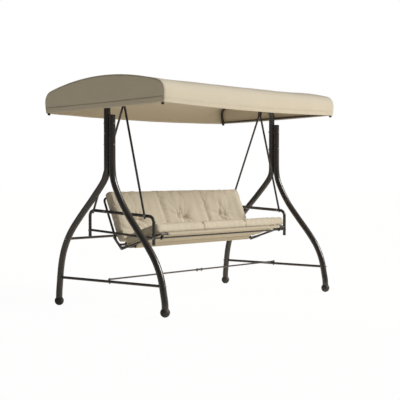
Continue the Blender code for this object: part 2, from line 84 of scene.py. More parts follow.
# ---------------------------------------------------------------- shader graphs
class Value:
    """A number or colour that varies over a surface: operators on it add Math nodes."""

    def __init__(self, graph: "Graph", socket: bpy.types.NodeSocket) -> None:
        """Keeps the graph and the socket."""
        self.graph = graph
        self.socket = socket

    def _with(self, operation: str, first: object, second: object) -> "Value":
        """Adds one Math node."""
        return self.graph.value("ShaderNodeMath", {"operation": operation}, {0: first, 1: second})

    def __add__(self, other: object) -> "Value":
        """Sum."""
        return self._with("ADD", self, other)

    def __sub__(self, other: object) -> "Value":
        """Difference."""
        return self._with("SUBTRACT", self, other)

    def __rsub__(self, other: object) -> "Value":
        """Reflected difference."""
        return self._with("SUBTRACT", other, self)

    def __mul__(self, other: object) -> "Value":
        """Product."""
        return self._with("MULTIPLY", self, other)

    __radd__ = __add__
    __rmul__ = __mul__

    def wave(self) -> "Value":
        """Sine."""
        return self._with("SINE", self, 0.0)

    def at_least(self, low: float) -> "Value":
        """The larger of this and low."""
        return self._with("MAXIMUM", self, low)


class Graph:
    """One material's node tree."""

    def __init__(self, name: str) -> None:
        """Starts a material with a Principled shader."""
        self.material = bpy.data.materials.new(name)
        self.material.use_nodes = True
        self.tree = self.material.node_tree
        self.tree.nodes.clear()
        self.shader = self.node("ShaderNodeBsdfPrincipled")
        self.node("ShaderNodeOutputMaterial", {}, {"Surface": self.shader.outputs[0]})

    def node(self, kind: str, settings: dict | None = None, values: dict | None = None) -> bpy.types.Node:
        """Adds any node.

        Args:
            kind: The node's type.
            settings: Its own settings, which are made first.
            values: Numbers, colours or links for its inputs, by name or place.

        Returns:
            The node.
        """
        made = self.tree.nodes.new(kind)
        for name, value in (settings or {}).items():
            setattr(made, name, value)
        for name, value in (values or {}).items():
            self.feed(made.inputs[name], value)
        return made

    def feed(self, socket: bpy.types.NodeSocket, value: object) -> None:
        """Links a value to a socket, or sets a constant on it."""
        if isinstance(value, Value):
            value = value.socket
        if isinstance(value, bpy.types.NodeSocket):
            self.tree.links.new(value, socket)
        else:
            socket.default_value = value

    def value(self, kind: str, settings: dict | None = None, values: dict | None = None,
              output: int | str = 0) -> Value:
        """Adds a node and returns one of its outputs."""
        return Value(self, self.node(kind, settings, values).outputs[output])

    def coordinates(self) -> Value:
        """The piece's own coordinates, in metres."""
        return self.value("ShaderNodeTexCoord", output="Object")

    def stretched(self, scale: Sequence[float]) -> Value:
        """The coordinates scaled by a different amount on each axis."""
        return self.value("ShaderNodeMapping", {}, {"Vector": self.coordinates(), "Scale": tuple(scale)})

    def noise(self, vector: Value, scale: float, detail: float = 2.0) -> Value:
        """Smooth noise about 0.5."""
        return self.value("ShaderNodeTexNoise", {}, {"Vector": vector, "Scale": scale, "Detail": detail})

    def tint(self, factor: Value, low: Sequence[float], high: Sequence[float]) -> Value:
        """A colour between two colours."""
        settings = {"data_type": "RGBA", "clamp_factor": True}
        return self.value("ShaderNodeMix", settings, {0: factor, 6: (*low, 1), 7: (*high, 1)}, 2)

    def bump(self, height: Value, distance: float, strength: float = 1.0) -> None:
        """Feeds the shader's normal from a height."""
        values = {"Height": height, "Distance": distance, "Strength": strength}
        self.feed(self.shader.inputs["Normal"], self.value("ShaderNodeBump", {}, values))

    def surface(self, values: dict) -> bpy.types.Material:
        """Sets the shader's own sockets and returns the material."""
        for name, value in values.items():
            self.feed(self.shader.inputs[name], value)
        return self.material


def scaled(colour: Sequence[float], amount: float) -> tuple[float, ...]:
    """A colour made lighter or darker."""
    return tuple(channel * amount for channel in colour)


@dataclass(frozen=True)
class PaintedSteel:
    """Satin powder coat, with a faint orange peel and dust on what faces up."""

    name: str
    colour: tuple[float, float, float]
    dust: tuple[float, float, float] = (0.17, 0.15, 0.13)
    dust_share: float = 0.12
    dust_scale: float = 60.0
    cloud_scale: float = 9.0
    tones: tuple[float, float] = (0.82, 1.2)
    peel_scale: float = 420.0
    peel_depth: float = 0.0003
    peel_strength: float = 0.35
    roughness: float = 0.28
    spread: float = 0.16            # how far the roughness varies
    metallic: float = 0.45
    coat: float = 0.6
    coat_roughness: float = 0.2

    def make(self) -> bpy.types.Material:
        """Builds the material."""
        graph = Graph(self.name)
        place = graph.coordinates()
        cloud = graph.noise(place, self.cloud_scale, 3.0)
        peel = graph.noise(place, self.peel_scale)
        normal = graph.value("ShaderNodeNewGeometry", output="Normal")
        up = graph.value("ShaderNodeSeparateXYZ", {}, {0: normal}, "Z").at_least(0.0)
        settled = up * graph.noise(place, self.dust_scale, 4.0) * self.dust_share
        dark, light = (scaled(self.colour, tone) for tone in self.tones)
        paint = graph.tint(cloud, dark, light)
        dusty = {0: settled, 6: paint, 7: (*self.dust, 1)}
        base = graph.value("ShaderNodeMix", {"data_type": "RGBA"}, dusty, 2)
        graph.bump(peel, self.peel_depth, self.peel_strength)
        roughness = cloud * self.spread + settled + (self.roughness - self.spread / 2)
        return graph.surface({"Base Color": base, "Roughness": roughness, "Metallic": self.metallic,
                              "Coat Weight": self.coat, "Coat Roughness": self.coat_roughness})


@dataclass(frozen=True)
class PlatedSteel:
    """Dull zinc plate on the bolts."""

    name: str
    colour: tuple[float, float, float]
    dark: float = 0.7
    spot_scale: float = 300.0
    spot_depth: float = 0.0002
    spot_strength: float = 0.3
    roughness: float = 0.2
    spread: float = 0.3
    metallic: float = 0.9

    def make(self) -> bpy.types.Material:
        """Builds the material."""
        graph = Graph(self.name)
        spots = graph.noise(graph.coordinates(), self.spot_scale, 4.0)
        graph.bump(spots, self.spot_depth, self.spot_strength)
        return graph.surface({"Base Color": graph.tint(spots, scaled(self.colour, self.dark), self.colour),
                              "Roughness": spots * self.spread + self.roughness, "Metallic": self.metallic})


@dataclass(frozen=True)
class MouldedPlastic:
    """Matte plastic with a fine moulded grain and scuffed patches."""

    name: str
    colour: tuple[float, float, float]
    scuff: tuple[float, float, float] = (0.12, 0.11, 0.10)
    scuff_from: float = 0.55        # patches above this are scuffed
    scuff_rate: float = 3.0
    patch_scale: float = 45.0
    grain_scale: float = 650.0
    grain_depth: float = 0.0004
    grain_strength: float = 0.5
    roughness: float = 0.45
    spread: float = 0.2

    def make(self) -> bpy.types.Material:
        """Builds the material."""
        graph = Graph(self.name)
        place = graph.coordinates()
        grain = graph.noise(place, self.grain_scale)
        patches = graph.noise(place, self.patch_scale, 5.0)
        scuffed = (patches - self.scuff_from).at_least(0.0) * self.scuff_rate
        graph.bump(grain, self.grain_depth, self.grain_strength)
        return graph.surface({"Base Color": graph.tint(scuffed, self.colour, self.scuff),
                              "Roughness": patches * self.spread + self.roughness})


@dataclass(frozen=True)
class WovenCloth:
    """A plain weave whose threads run along the bench and across it, with slubs and a soft fade."""

    name: str
    colour: tuple[float, float, float]
    tones: tuple[float, float] = (0.72, 1.28)
    pitch: float = 0.0016
    relief: float = 0.00035
    weave_shade: float = 0.10
    slub: float = 0.16
    slub_scale: tuple[float, float] = (9, 260)      # along a thread, and from thread to thread
    fade: float = 0.10
    fade_scale: float = 2.6
    crease: float = 0.0
    crease_scale: tuple[float, float, float] = (34, 11, 11)
    roughness: float = 0.82
    spread: float = 0.1
    specular: float = 0.2
    sheen: float = 0.15
    sheen_roughness: float = 0.5

    def make(self) -> bpy.types.Material:
        """Builds the material."""
        graph = Graph(self.name)
        place = graph.coordinates()
        parts = graph.node("ShaderNodeSeparateXYZ", {}, {0: place})
        across, depth, height = (Value(graph, parts.outputs[index]) for index in range(3))
        turns = math.tau / self.pitch
        weave = (across * turns).wave() * ((depth + height) * turns).wave() * 0.5 + 0.5
        slow, fast = self.slub_scale
        along_threads = graph.noise(graph.stretched((slow, fast, fast)), 1.0, 3.0)
        cross_threads = graph.noise(graph.stretched((fast, slow, slow)), 1.0, 3.0)
        soft = graph.noise(place, self.fade_scale, 3.0)
        middle = 0.5 - self.slub - self.fade / 2
        shade = (along_threads + cross_threads) * self.slub + soft * self.fade + middle
        shade = shade + weave * self.weave_shade - self.weave_shade / 2
        wrinkle = graph.noise(graph.stretched(self.crease_scale), 1.0, 3.0)
        graph.bump(weave * self.relief + wrinkle * self.crease, 1.0)
        dark, light = (scaled(self.colour, tone) for tone in self.tones)
        return graph.surface({"Base Color": graph.tint(shade, dark, light),
                              "Roughness": weave * self.spread + self.roughness,
                              "Specular IOR Level": self.specular, "Sheen Weight": self.sheen,
                              "Sheen Roughness": self.sheen_roughness})


@dataclass(frozen=True)
class Thread:
    """Sewing thread, twisted."""

    name: str
    colour: tuple[float, float, float]
    tones: tuple[float, float] = (0.8, 1.15)
    twist_scale: tuple[float, float, float] = (500, 900, 900)
    twist_depth: float = 0.0003
    twist_strength: float = 0.6
    roughness: float = 0.65
    spread: float = 0.2

    def make(self) -> bpy.types.Material:
        """Builds the material."""
        graph = Graph(self.name)
        twist = graph.noise(graph.stretched(self.twist_scale), 1.0)
        graph.bump(twist, self.twist_depth, self.twist_strength)
        dark, light = (scaled(self.colour, tone) for tone in self.tones)
        return graph.surface({"Base Color": graph.tint(twist, dark, light),
                              "Roughness": twist * self.spread + self.roughness})


TAN = (0.66, 0.585, 0.452)
FINISHES = {
    Slot.FRAME: PaintedSteel("bronze_powder_coat", (0.046, 0.039, 0.035)),
    Slot.FASTENER: PlatedSteel("dark_zinc_plate", (0.36, 0.35, 0.34)),
    Slot.FOOT: MouldedPlastic("matte_black_plastic", (0.030, 0.027, 0.025)),
    Slot.CANOPY: WovenCloth("tan_canopy_cloth", TAN, pitch=0.0014, slub=0.10, fade=0.06),
    Slot.CUSHION: WovenCloth("beige_cushion_cloth", (0.615, 0.54, 0.415), pitch=0.0018, slub=0.14, fade=0.10,
                             crease=0.0004, sheen=0.2),
    Slot.SLING: WovenCloth("tan_sling_mesh", (0.56, 0.49, 0.365), pitch=0.0028, relief=0.0007, slub=0.18),
}
MATERIALS = {slot: finish.make() for slot, finish in FINISHES.items()}
STITCH = Thread("tan_sewing_thread", (0.50, 0.44, 0.33)).make()
PIPING = WovenCloth("tan_piping_cloth", (0.52, 0.455, 0.345), pitch=0.0012, slub=0.10).make()


# ---------------------------------------------------------------- forms
def facing(point: Sequence[float], direction: Sequence[float]) -> Matrix:
    """A placement whose own +Z points along a direction."""
    return Matrix.Translation(point) @ Vector(direction).to_track_quat("Z", "Y").to_matrix().to_4x4()


def middle_of(node: str) -> tuple[float, ...]:
    """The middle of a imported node's box."""
    low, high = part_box(node)
    return tuple((low[axis] + high[axis]) / 2 for axis in range(3))


def linked(name: str, data: bpy.types.ID) -> bpy.types.Object:
    """An object in the scene that shows some data."""
    made = bpy.data.objects.new(name, data)
    bpy.context.scene.collection.objects.link(made)
    return made


def mesh_from(name: str, part: bmesh.types.BMesh) -> bpy.types.Mesh:
    """A mesh with what a mesh in the making holds, which is then freed."""
    mesh = bpy.data.meshes.new(name)
    part.to_mesh(mesh)
    part.free()
    return mesh


def evaluated(carrier: bpy.types.Object) -> bpy.types.Mesh:
    """An object's mesh after its modifiers."""
    return bpy.data.meshes.new_from_object(carrier.evaluated_get(bpy.context.evaluated_depsgraph_get()))


def ray_tree(mesh: bpy.types.Mesh) -> BVHTree:
    """A mesh's faces, ready for rays."""
    return BVHTree.FromPolygons([vert.co for vert in mesh.vertices],
                                [tuple(face.vertices) for face in mesh.polygons])


def thickened(cloth: bpy.types.Object, thickness: float) -> None:
    """Gives a sheet its thickness, half to each side."""
    wall = cloth.modifiers.new("cloth", "SOLIDIFY")
    wall.thickness = thickness
    wall.offset = 0


def hit(node: str, origin: Sequence[float], direction: Sequence[float]) -> Vector:
    """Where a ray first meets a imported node.

    Args:
        node: The node's name.
        origin: Where the ray starts.
        direction: Where it goes.

    Returns:
        The point met.
    """
    point = ray_tree(frame["nodes"][node].data).ray_cast(Vector(origin), Vector(direction))[0]
    if point is None:
        raise ValueError(f"nothing of {node} lies on that line")
    return point


class Form:
    """A mesh in the making."""

    def __init__(self) -> None:
        """Starts empty."""
        self.bm = bmesh.new()

    def absorb(self, part: bmesh.types.BMesh, place: Matrix) -> "Form":
        """Puts a smaller mesh into this one.

        Args:
            part: The mesh, which is freed.
            place: Where it goes.

        Returns:
            This form.
        """
        bmesh.ops.transform(part, matrix=place, verts=part.verts)
        carried = mesh_from("carried", part)
        self.bm.from_mesh(carried)
        bpy.data.meshes.remove(carried)
        return self

    def turned(self, profile: Iterable[tuple[float, float]], place: Matrix, steps: int = 20) -> "Form":
        """Adds a turned solid.

        Args:
            profile: (radius, height) points from the top of the axis to its bottom.
            place: Where it goes; its axis is the placement's +Z.
            steps: Faces round it.

        Returns:
            This form.
        """
        part = bmesh.new()
        verts = [part.verts.new((radius, 0, height)) for radius, height in profile]
        edges = [part.edges.new(pair) for pair in zip(verts, verts[1:])]
        bmesh.ops.spin(part, geom=verts + edges, cent=(0, 0, 0), axis=(0, 0, 1), dvec=(0, 0, 0),
                       angle=math.tau, steps=steps, use_merge=True)
        bmesh.ops.remove_doubles(part, verts=part.verts, dist=1e-6)
        bmesh.ops.recalc_face_normals(part, faces=part.faces)
        return self.absorb(part, place)

    def hexagon(self, radius: float, height: float, place: Matrix) -> "Form":
        """Adds a chamfered hexagonal head that stands on the placement's origin."""
        chamfer = height * 0.14
        part = bmesh.new()
        bmesh.ops.create_cone(part, cap_ends=True, segments=6, radius1=radius, radius2=radius, depth=height)
        bmesh.ops.bevel(part, geom=part.edges[:], offset=chamfer, offset_type="OFFSET", segments=2,
                        profile=0.5, affect="EDGES", material=-1)
        bmesh.ops.translate(part, vec=(0, 0, height / 2), verts=part.verts)
        return self.absorb(part, place)

    def sheet(self, columns: int, rows: int, shape: Callable[[float, float], Vector]) -> "Form":
        """Adds a grid of cloth.

        Args:
            columns: Faces across it.
            rows: Faces along it.
            shape: Gives a point of the cloth from its share across and along.

        Returns:
            This form.
        """
        part = bmesh.new()
        bmesh.ops.create_grid(part, x_segments=columns, y_segments=rows, size=0.5)
        for vert in part.verts:
            vert.co = shape(vert.co.x + 0.5, vert.co.y + 0.5)
        bmesh.ops.remove_doubles(part, verts=part.verts, dist=1e-5)
        bmesh.ops.recalc_face_normals(part, faces=part.faces)
        return self.absorb(part, Matrix.Identity(4))

    def round_bar(self, path: Sequence[Sequence[float]], radius: float, closed: bool = False,
                  roundness: int = 3) -> "Form":
        """Adds a round bar along a path."""
        curve = bpy.data.curves.new("bar", "CURVE")
        curve.dimensions = "3D"
        curve.bevel_depth = radius
        curve.bevel_resolution = roundness
        curve.use_fill_caps = not closed
        spline = curve.splines.new("POLY")
        spline.points.add(len(path) - 1)
        for point, place in zip(spline.points, path):
            point.co = (*place, 1)
        spline.use_cyclic_u = closed
        carrier = linked("bar", curve)
        made = evaluated(carrier)
        self.bm.from_mesh(made)
        bpy.data.objects.remove(carrier)
        bpy.data.curves.remove(curve)
        bpy.data.meshes.remove(made)
        return self

    def moved(self, place: Matrix) -> "Form":
        """Moves all of it."""
        bmesh.ops.transform(self.bm, matrix=place, verts=self.bm.verts)
        return self

    def piece(self, name: str, body: Body, slot: Slot, material: bpy.types.Material | None = None,
              sharp: float = 35.0) -> bpy.types.Object:
        """Makes the form a piece of the bench.

        Args:
            name: The piece's name.
            body: The body it rides on.
            slot: The record's material slot.
            material: Its material, where it isn't the slot's own.
            sharp: Edges that turn by more degrees than this stay crisp.

        Returns:
            The object.
        """
        mesh = mesh_from(name, self.bm)
        mesh.shade_smooth()
        mesh.set_sharp_from_angle(angle=math.radians(sharp))
        mesh.materials.append(material or MATERIALS[slot])
        made = linked(name, mesh)
        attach(made, body.value)
        LOG.info("%s: %d faces, rides on %s", name, len(mesh.polygons), body.value)
        return made


class Fastener(Enum):
    """Ways a bolt can show."""

    DOME = "dome"
    HEX = "hex"
    NUT = "nut"


SUNK = 0.0012                       # how far a bolt's washer is let into a round tube
WASHER_T = 0.0026
WASHER_RIM = 0.0020                 # the washer's thickness at its rounded rim
PLUG_LIP = 0.0008                   # how far a plug stands proud of its tube
PLUG_SKIRT = 0.004                  # how far it reaches down round the tube


def fasten(form: Form, kind: Fastener, point: Sequence[float], direction: Sequence[float],
           size: float) -> None:
    """Adds a bolt's end that stands on a surface.

    Args:
        form: The form that gets it.
        kind: What shows.
        point: Where it meets the surface.
        direction: Which way it points.
        size: The radius of the head.
    """
    place = facing(Vector(point) - Vector(direction).normalized() * SUNK, direction)
    washer = size * 1.35
    rise = [(0, WASHER_T), (washer * 0.94, WASHER_T), (washer, WASHER_RIM), (washer, 0), (0, 0)]
    form.turned(rise, place, 18)
    seat = place @ Matrix.Translation((0, 0, 0.0022))
    if kind is Fastener.DOME:
        tall = size * 0.62
        form.turned([(0, tall), (size * 0.42, tall * 0.92), (size * 0.78, tall * 0.62),
                     (size, tall * 0.12), (size, 0), (0, 0)], seat, 18)
        return
    form.hexagon(size, size * 0.75, seat)
    if kind is Fastener.NUT:
        stub, reach = size * 0.5, size * 1.35
        rise = [(0, reach), (stub * 0.8, reach), (stub, reach - 0.001), (stub, 0), (0, 0)]
        form.turned(rise, seat, 12)


def bolt_outside(form: Form, node: str, place: Sequence[float], size: float) -> None:
    """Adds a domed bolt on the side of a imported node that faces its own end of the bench.

    Args:
        form: The form that gets it.
        node: The node's name.
        place: The middle of the node there.
        size: The radius of the head.
    """
    x, y, z = place
    out = (math.copysign(1, x), 0, 0)
    fasten(form, Fastener.DOME, hit(node, (2 * x, y, z), (-out[0], 0, 0)), out, size)


def plug(form: Form, point: Sequence[float], direction: Sequence[float], radius: float,
         tall: float) -> None:
    """Adds a rounded plastic plug over a tube's open end.

    Args:
        form: The form that gets it.
        point: The middle of the tube's end.
        direction: Which way the tube opens.
        radius: The tube's radius.
        tall: How far the plug stands out.
    """
    lip = radius + PLUG_LIP
    rise = [(0, tall), (lip * 0.55, tall * 0.94), (lip * 0.88, tall * 0.66), (lip, tall * 0.3),
            (lip, -PLUG_SKIRT), (radius * 0.7, -PLUG_SKIRT), (0, -PLUG_SKIRT)]
    form.turned(rise, facing(point, direction), 24)


def soft_shading(weld: float = 1e-5, sharp: float = 38) -> bpy.types.NodeTree:
    """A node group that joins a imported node's loose triangles and shades them smooth.

    Args:
        weld: Corners nearer than this are one.
        sharp: Edges that turn by more degrees than this stay crisp.

    Returns:
        The group.
    """
    tree = bpy.data.node_groups.new("soft_shading", "GeometryNodeTree")
    for way in ("INPUT", "OUTPUT"):
        tree.interface.new_socket("Geometry", in_out=way, socket_type="NodeSocketGeometry")
    start, merge, faces, edges, end = (tree.nodes.new(kind) for kind in (
        "NodeGroupInput", "GeometryNodeMergeByDistance", "GeometryNodeSetShadeSmooth",
        "GeometryNodeSetShadeSmooth", "NodeGroupOutput"))
    merge.inputs["Distance"].default_value = weld
    edges.domain = "EDGE"
    edges.inputs["Shade Smooth"].default_value = False
    angle = tree.nodes.new("GeometryNodeInputMeshEdgeAngle")
    above = tree.nodes.new("FunctionNodeCompare")
    above.operation = "GREATER_THAN"
    above.inputs["B"].default_value = math.radians(sharp)
    links = ((start.outputs[0], merge.inputs[0]), (merge.outputs[0], faces.inputs[0]),
             (faces.outputs[0], edges.inputs[0]), (edges.outputs[0], end.inputs[0]),
             (angle.outputs[0], above.inputs["A"]), (above.outputs[0], edges.inputs["Selection"]))
    for output, target in links:
        tree.links.new(output, target)
    return tree


def dress_packed_nodes() -> None:
    """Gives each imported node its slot's material and smooth shading."""
    group = soft_shading()
    for part in frame["record"]["subparts"]:
        node = frame["nodes"][part["node"]]
        material = MATERIALS[Slot(part["material_slot"])]
        if not node.data.materials:
            node.data.materials.append(material)
        for holder in node.material_slots:
            holder.material = material
        modifier = node.modifiers.new("soft_shading", "NODES")
        modifier.node_group = group


# ---------------------------------------------------------------- stand
@dataclass
class Stand:
    """The fixings of the two end frames and the bars between them."""

    bolt: float = 0.0075
    small_bolt: float = 0.0055
    post_bolts: tuple[float, ...] = (1.385, 1.23)
    side_bolt: float = 1.31
    bar_z: float = 0.217
    front_post_y: float = -0.0503
    cap_tall: float = 0.011
    plug_tall: float = 0.004
    sleeve_half: float = 0.045
    sleeve_r: float = 0.0082
    sleeve_bolt_x: float = 0.028
    sleeve_bolt_out: float = 0.0078

    def build(self) -> None:
        """Builds both end frames and the middle."""
        for side, sign in SIDES:
            self.posts(side)
            self.end_bar(side, sign)
        self.middle()

    def posts(self, side: str) -> None:
        """Bolts that clamp the two legs together, and the front leg's cap."""
        front, rear = f"front_leg_{side}", f"rear_leg_{side}"
        low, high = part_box(front)
        x, radius = (low.x + high.x) / 2, (high.x - low.x) / 2
        form = Form()
        for z in self.post_bolts:
            fasten(form, Fastener.DOME, hit(front, (x, -1, z), (0, 1, 0)), (0, -1, 0), self.bolt)
            fasten(form, Fastener.NUT, hit(rear, (x, 1, z), (0, -1, 0)), (0, 1, 0), self.bolt)
        bolt_outside(form, rear, (x, 0, self.side_bolt), self.small_bolt)
        form.piece(f"post_bolts_{side}", Body.STAND, Slot.FASTENER)
        cap = Form()
        crown = hit(front, (x, self.front_post_y, 2), (0, 0, -1))
        plug(cap, crown, (0, 0, 1), radius, self.cap_tall)
        cap.piece(f"post_cap_{side}", Body.STAND, Slot.FOOT)

    def end_bar(self, side: str, sign: int) -> None:
        """Nuts where the end bar is bolted through the legs, and the stretcher's bolt and plug."""
        bar, stretcher = f"end_bar_{side}", f"floor_stretcher_{side}"
        x = middle_of(bar)[0]
        form = Form()
        for node, from_y in ((f"front_leg_{side}", -1), (f"rear_leg_{side}", 1)):
            point = hit(node, (x, from_y, self.bar_z), (0, -from_y, 0))
            fasten(form, Fastener.NUT, point, (0, from_y, 0), self.bolt)
        low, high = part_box(stretcher)
        _, y, z = middle_of(stretcher)
        fasten(form, Fastener.DOME, hit(stretcher, (x, y, 1), (0, 0, -1)), (0, 0, 1), self.small_bolt)
        fasten(form, Fastener.NUT, hit(bar, (x, y, 0), (0, 0, 1)), (0, 0, -1), self.small_bolt)
        tip = Form()
        end = (sign * max(abs(low.x), abs(high.x)), y, z)
        plug(tip, end, (sign, 0, 0), (high.z - low.z) / 2, self.plug_tall)
        tip.piece(f"stretcher_plug_{side}", Body.STAND, Slot.FOOT)
        bolt_outside(form, f"rear_leg_{side}", (x, *middle_of("rear_cross_bar")[1:]), self.bolt)
        form.piece(f"end_frame_bolts_{side}", Body.STAND, Slot.FASTENER)

    def middle(self) -> None:
        """The sleeve that joins the two halves of the floor stretcher, with its bolts."""
        _, y, z = middle_of("floor_stretcher_left")
        sleeve = Form()
        sleeve.round_bar([(-self.sleeve_half, y, z), (self.sleeve_half, y, z)], self.sleeve_r)
        sleeve.piece("stretcher_sleeve", Body.STAND, Slot.FRAME)
        form = Form()
        for x in (-self.sleeve_bolt_x, self.sleeve_bolt_x):
            for kind, up in ((Fastener.DOME, 1), (Fastener.NUT, -1)):
                point = (x, y, z + up * self.sleeve_bolt_out)
                fasten(form, kind, point, (0, 0, up), self.small_bolt)
        form.piece("stretcher_sleeve_bolts", Body.STAND, Slot.FASTENER)


# ---------------------------------------------------------------- swing carrier
@dataclass
class SwingCarrier:
    """The fixings of the arms and their hanger rods."""

    rods: tuple[tuple[float, float], ...] = ((0.3255, 0.729), (-0.2075, 0.700))
    stop_bolt: tuple[float, float] = (0.2255, 0.726)
    bolt: float = 0.0065
    plug_tall: float = 0.008

    def build(self) -> None:
        """Builds both arms' fixings."""
        for side, sign in SIDES:
            arm = f"arm_{side}"
            low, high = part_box(arm)
            x, radius = (low.x + high.x) / 2, (high.x - low.x) / 2
            rod_low, rod_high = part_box(f"hanger_rod_rear_{side}")
            rod_out = sign * max(abs(rod_low.x), abs(rod_high.x))
            form = Form()
            for y, z in self.rods:
                fasten(form, Fastener.HEX, (rod_out, y, z), (sign, 0, 0), self.bolt)
                fasten(form, Fastener.NUT, (x - sign * radius, y, z), (-sign, 0, 0), self.bolt)
            rail_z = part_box(f"arm_lower_rail_{side}")[1].z - radius
            for y, z in (self.stop_bolt, middle_of("seat_front_rail")[1:], (high.y - radius, rail_z)):
                bolt_outside(form, arm, (x, y, z), self.bolt)
            form.piece(f"arm_bolts_{side}", Body.SWING, Slot.FASTENER)
            plugs = Form()
            for y in (high.y - radius, low.y + radius):
                plug(plugs, hit(arm, (x, y, 0), (0, 0, 1)), (0, 0, -1), radius, self.plug_tall)
            plugs.piece(f"arm_plugs_{side}", Body.SWING, Slot.FOOT)


# ---------------------------------------------------------------- lines, slings and cushions
@dataclass(frozen=True)
class Line:
    """The line through a frame's two cross tubes, seen from the end, with the cushion above it."""

    start: tuple[float, float]
    end: tuple[float, float]

    @property
    def length(self) -> float:
        """Between the tubes' centres."""
        return math.dist(self.start, self.end)

    def matrix(self) -> Matrix:
        """Turns (across, along, above) into the frame's axes."""
        run = (Vector(self.end) - Vector(self.start)).normalized()
        turn = Matrix(((1, 0, 0), (0, run.x, -run.y), (0, run.y, run.x))).to_4x4()
        return Matrix.Translation((0, *self.start)) @ turn


SEAT_LINE = Line((-0.305, 0.566), (0.0235, 0.457))
BACK_LINE = Line((0.1215, 0.470), (0.2715, 0.824))


@dataclass
class Sling:
    """Cloth stretched between two cross tubes, with a sewn sleeve round each."""

    name: str
    body: Body
    line: Line
    node: str
    half_width: float = 0.715
    wrap: float = 0.0112
    overlap: float = 0.036
    thickness: float = 0.0014
    sag: float = 0.004
    rise: float = 0.72              # where a sleeve's free edge leaves the cloth, as a share of it
    turn_steps: int = 22
    spans: int = 24
    columns: int = 48
    slack: float = 0.0012           # how deep the cloth's loose waves are
    wave: tuple[float, float] = (21, 9)     # their rates across the bench and along the cloth
    seam: float = 0.0003            # how far a stitch sinks in
    seam_half: float = 0.003        # from a sleeve's seam to each of its two rows

    def outline(self) -> list[tuple[float, float]]:
        """The cloth's line seen from the end, as (along, above) points."""
        wrap, steps, spans = self.wrap, self.turn_steps, self.spans
        below, free = wrap - self.thickness * 1.7, self.overlap * self.rise
        leave = math.atan2(below, free) - math.acos(wrap / math.hypot(free, below))
        turn = [leave + (-1.5 * math.pi - leave) * step / steps for step in range(steps + 1)]
        first = [(self.overlap, below), (free, below)]
        first += [(wrap * math.cos(angle), wrap * math.sin(angle)) for angle in turn]
        run = [(self.line.length * step / spans, wrap - self.sag * math.sin(math.pi * step / spans) ** 2)
               for step in range(1, spans)]
        last = [(self.line.length - along, above) for along, above in reversed(first)]
        return first + run + last

    def build(self) -> bpy.types.Object:
        """Builds the cloth and its stitch rows."""
        points = self.outline()
        rows, length = len(points) - 1, self.line.length
        place = self.line.matrix()
        rate_x, rate_s = self.wave

        def shape(across: float, along: float) -> Vector:
            x = (across * 2 - 1) * self.half_width
            s, n = points[round(along * rows)]
            free = math.sin(math.pi * min(max(s / length, 0), 1)) ** 2
            slack = self.slack * free * math.sin(x * rate_x + s * rate_s)
            return place @ Vector((x, s, n + slack))

        cloth = Form().sheet(self.columns, rows, shape).piece(self.name, self.body, Slot.SLING, sharp=180)
        thickened(cloth, self.thickness)
        cut = sum(math.dist(a, b) for a, b in zip(points, points[1:]))
        stitches = Form()
        top = self.wrap + self.thickness / 2 - self.seam
        across = [share / 100 * self.half_width for share in range(-98, 99, 7)]
        for s in (self.overlap * 0.8, length - self.overlap * 0.8):
            for row in (-self.seam_half, self.seam_half):
                stitch_row(stitches, [(x, s + row, top) for x in across])
        stitches.moved(place)
        sewn = stitches.piece(f"{self.name}_stitches", self.body, Slot.SLING, STITCH)
        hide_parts(self.node)
        return cloth


def stitch_row(form: Form, path: Sequence[Sequence[float]], pitch: float = 0.009,
               radius: float = 0.0007) -> None:
    """Adds a row of stitches along a path of straight pieces.

    Args:
        form: The form that gets them.
        path: The seam's points.
        pitch: From one stitch to the next.
        radius: Half of the thread's width.
    """
    walk, carried = [Vector(point) for point in path], 0.0
    for start, end in zip(walk, walk[1:]):
        run = end - start
        while carried < run.length:
            heading = run.normalized()
            middle = start + heading * carried
            part = bmesh.new()
            bmesh.ops.create_cube(part, size=1)
            bmesh.ops.scale(part, vec=(radius * 1.6, radius * 1.6, pitch * 0.66), verts=part.verts)
            for way in (1, -1):
                tips = [vert for vert in part.verts if vert.co.z * way > 0]
                bmesh.ops.scale(part, vec=(0.45, 0.45, 1), verts=tips)
            form.absorb(part, facing(middle, heading))
            carried += pitch
        carried -= run.length


def smooth_step(value: float) -> float:
    """Eases from 0 to 1."""
    value = min(max(value, 0.0), 1.0)
    return value * value * (3 - 2 * value)


def hump(share: float) -> float:
    """Nothing at both ends and 1 at the middle."""
    return 1 - (2 * share - 1) ** 2


